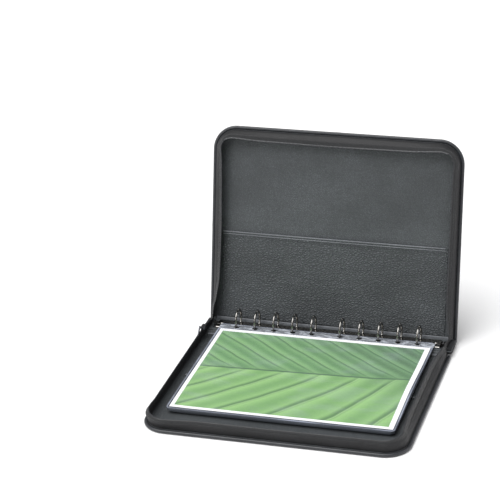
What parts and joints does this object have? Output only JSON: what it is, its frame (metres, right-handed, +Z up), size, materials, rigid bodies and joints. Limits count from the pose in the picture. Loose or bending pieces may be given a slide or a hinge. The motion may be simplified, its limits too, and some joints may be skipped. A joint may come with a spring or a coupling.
{
  "type": "portfolio case",
  "caption": "Zip-round leatherette portfolio case standing open, with metal page rings on the spine, clear sleeves, inner pockets and a strap handle.",
  "frame": {"origin": "middle of the lower cover's underside, on the surface that the case lies on", "axes": "+Z up, +X along the spine, +Y from the lower cover's free edge to the spine and the lid"},
  "size_m": [0.332, 0.3614, 0.2599],
  "materials": {
    "outer_leather": "fine-grained black leatherette with a soft sheen",
    "lining_leather": "pebble-grained charcoal leatherette, satin",
    "pocket_leather": "pebble-grained charcoal leatherette, satin",
    "grey_board": "pressed grey board, matt",
    "zip_tape": "woven black zip tape",
    "zip_teeth": "black coil teeth, satin",
    "bright_steel": "polished chrome plate",
    "clear_film": "clear glossy film",
    "print_paper": "satin photographic print of a leaf with a white border"
  },
  "bodies": {
    "back_cover": {"back_edge_binding": "outer_leather", "back_cover_skin": "outer_leather", "back_cover_board": "grey_board", "back_cover_lining": "lining_leather", "back_pocket": "pocket_leather", "back_lining_piping": "lining_leather", "back_gusset": "outer_leather", "back_zip_tape": "zip_tape", "back_zip_teeth": "zip_teeth"},
    "spine": {"spine_skin": "outer_leather", "spine_board": "grey_board", "spine_lining": "lining_leather", "ring_rail": "bright_steel", "rail_rivet_left": "bright_steel", "rail_rivet_right": "bright_steel", "handle_keeper_left": "outer_leather", "handle_keeper_right": "outer_leather", "zip_end_tab_left": "outer_leather", "zip_end_tab_right": "outer_leather"},
    "front_cover": {"front_edge_binding": "outer_leather", "front_cover_skin": "outer_leather", "front_cover_board": "grey_board", "front_cover_lining": "lining_leather", "front_pocket": "pocket_leather", "front_lining_piping": "lining_leather", "front_gusset": "outer_leather", "front_zip_tape": "zip_tape", "front_zip_teeth": "zip_teeth"},
    "front_rings": {"front_ring_blade": "bright_steel", "front_ring_1": "bright_steel", "front_ring_2": "bright_steel", "front_ring_3": "bright_steel", "front_ring_4": "bright_steel", "front_ring_5": "bright_steel", "front_ring_6": "bright_steel", "front_ring_7": "bright_steel", "front_ring_8": "bright_steel", "front_ring_9": "bright_steel", "front_ring_10": "bright_steel"},
    "rear_rings": {"rear_ring_blade": "bright_steel", "rear_ring_1": "bright_steel", "rear_ring_2": "bright_steel", "rear_ring_3": "bright_steel", "rear_ring_4": "bright_steel", "rear_ring_5": "bright_steel", "rear_ring_6": "bright_steel", "rear_ring_7": "bright_steel", "rear_ring_8": "bright_steel", "rear_ring_9": "bright_steel", "rear_ring_10": "bright_steel"},
    "left_lever": {"ring_lever_left": "bright_steel"},
    "right_lever": {"ring_lever_right": "bright_steel"},
    "page_stack": {"sleeve_stack": "clear_film"},
    "top_page": {"top_sleeve": "clear_film", "leaf_print": "print_paper"},
    "handle": {"handle_strap": "outer_leather"},
    "slider": {"zip_slider": "bright_steel"},
    "pull": {"zip_pull": "bright_steel"}
  },
  "joints": [
    {"name": "spine_fold", "type": "hinge", "parent": "back_cover", "child": "spine", "pos_m": [0, 0.131, 0.0046], "axis": [1, 0, 0], "range_deg": [0, 90]},
    {"name": "lid_fold", "type": "hinge", "parent": "spine", "child": "front_cover", "pos_m": [0, 0.167, 0.0046], "axis": [-1, 0, 0], "range_deg": [-13, 77]},
    {"name": "page_follow", "type": "hinge", "parent": "spine", "child": "page_stack", "pos_m": [0, 0.149, 0.019], "axis": [1, 0, 0], "range_deg": [-90, 0]},
    {"name": "page_turn", "type": "hinge", "parent": "page_stack", "child": "top_page", "pos_m": [0, 0.149, 0.019], "axis": [-1, 0, 0], "range_deg": [0, 90]},
    {"name": "ring_open", "type": "hinge", "parent": "spine", "child": "front_rings", "pos_m": [0, 0.1396, 0.00825], "axis": [-1, 0, 0], "range_deg": [-12, 0]},
    {"name": "rear_ring_open", "type": "hinge", "parent": "spine", "child": "rear_rings", "pos_m": [0, 0.1584, 0.00825], "axis": [1, 0, 0], "range_deg": [-12, 0]},
    {"name": "left_lever_press", "type": "hinge", "parent": "spine", "child": "left_lever", "pos_m": [-0.148, 0.149, 0.0094], "axis": [0, 1, 0], "range_deg": [-25, 0]},
    {"name": "right_lever_press", "type": "hinge", "parent": "spine", "child": "right_lever", "pos_m": [0.148, 0.149, 0.0094], "axis": [0, -1, 0], "range_deg": [-25, 0]},
    {"name": "handle_slide", "type": "slide", "parent": "spine", "child": "handle", "axis": [1, 0, 0], "range_m": [-0.006, 0.006]},
    {"name": "zip_slide", "type": "slide", "parent": "back_cover", "child": "slider", "axis": [0, -1, 0], "range_m": [0, 0.18]},
    {"name": "pull_swing", "type": "hinge", "parent": "slider", "child": "pull", "pos_m": [-0.1626, 0.113, 0.02055], "axis": [-1, 0, 0], "range_deg": [0, 130]}
  ],
  "couplings": [
    {"joint": "page_follow", "follows": "spine_fold", "ratio": -1},
    {"joint": "rear_ring_open", "follows": "ring_open", "ratio": 1},
    {"joint": "left_lever_press", "follows": "ring_open", "ratio": 2.08},
    {"joint": "right_lever_press", "follows": "ring_open", "ratio": 2.08}
  ]
}
